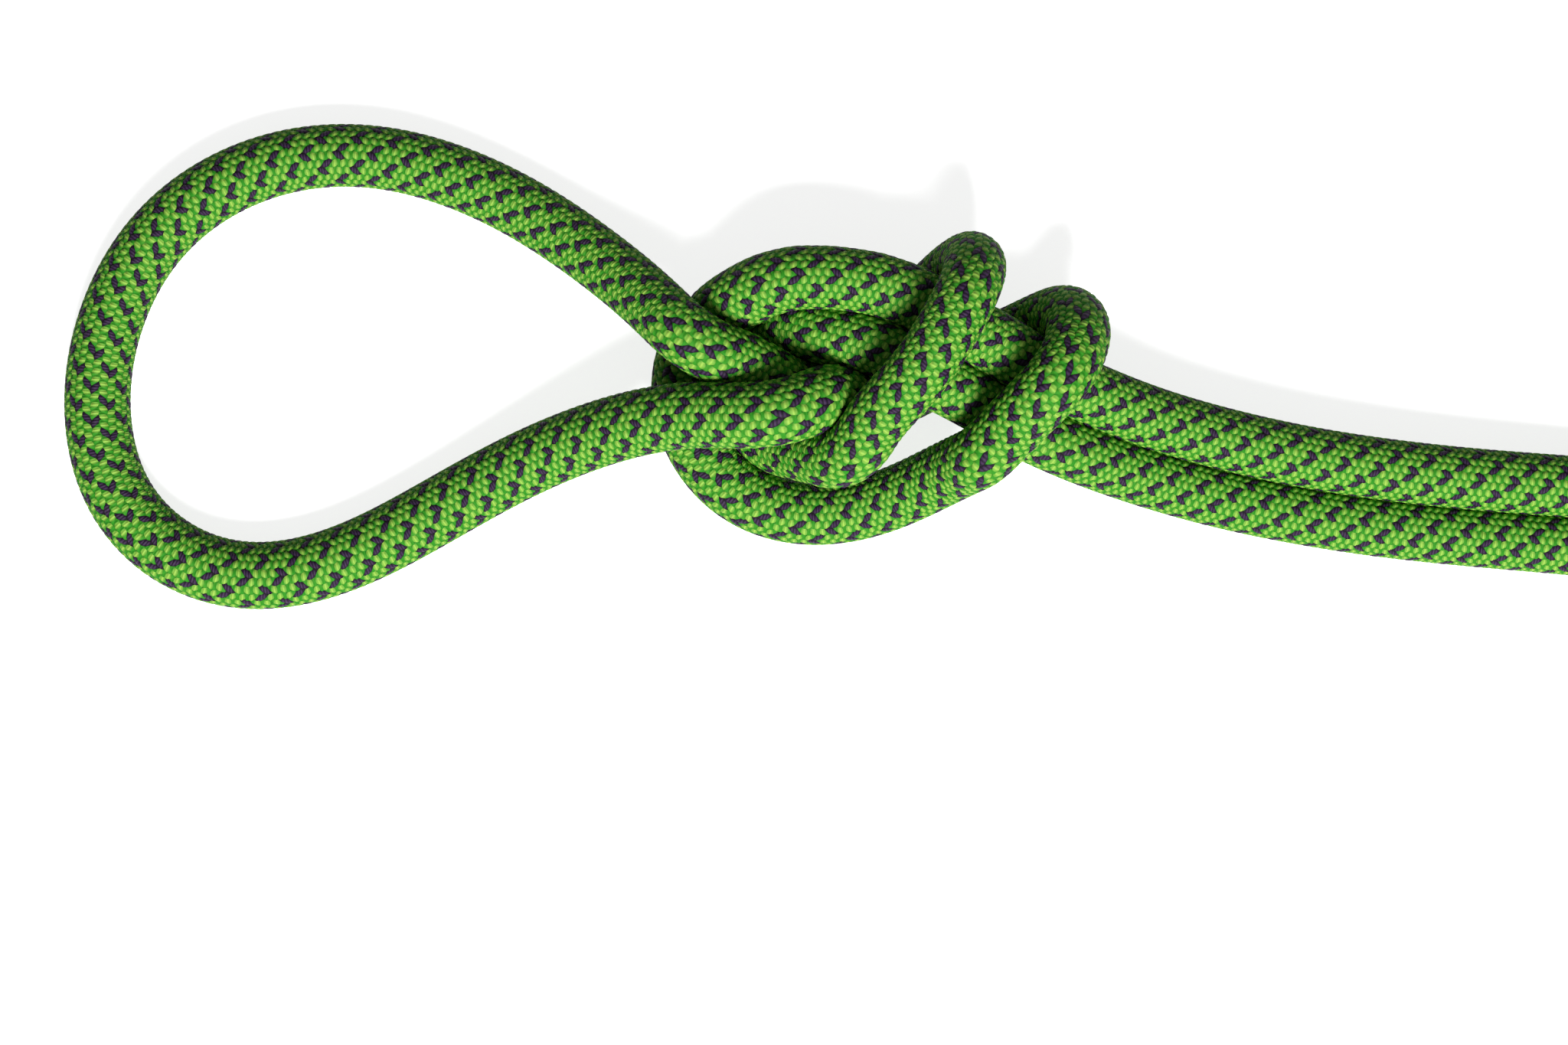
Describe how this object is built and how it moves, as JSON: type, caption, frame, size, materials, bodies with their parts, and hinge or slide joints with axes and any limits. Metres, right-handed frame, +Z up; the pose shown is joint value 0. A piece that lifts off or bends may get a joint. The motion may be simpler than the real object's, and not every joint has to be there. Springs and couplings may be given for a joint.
{
  "type": "dynamic climbing rope",
  "caption": "Braided kernmantle climbing rope tied in an overhand knot on a bight, with an open eye, a sleeved tail and the rest of the rope folded into a strapped hank.",
  "frame": {"origin": "on the surface the rope lies on, on the flat under the crown of the eye", "axes": "+X along the rope from the eye over the knot to the hank, +Y to the left of that, +Z up"},
  "size_m": [0.525, 0.0948, 0.0474],
  "materials": {
    "sheath": "matte braided polyamide, bright green with dark purple flecks",
    "core": "matte white twisted polyamide",
    "thread": "matte coloured thread",
    "fused_end": "melted and set hard, slightly glossy",
    "sleeve": "satin shrink film",
    "strap": "matte woven webbing"
  },
  "bodies": {
    "root": {"standing_part": "sheath", "knot_inner_turn": "sheath", "eye_loop": "sheath", "knot_outer_turn": "sheath", "tail_sheath": "sheath", "core_strand_0": "core", "core_strand_1": "core", "core_strand_2": "core", "core_strand_3": "core", "core_strand_4": "core", "core_strand_5": "core", "core_strand_6": "core", "identification_thread": "thread", "tail_sleeve": "sleeve", "tail_tip": "fused_end", "hank": "sheath", "hank_end_sleeve": "sleeve", "hank_end_tip": "fused_end", "hank_strap": "strap"}
  },
  "joints": []
}
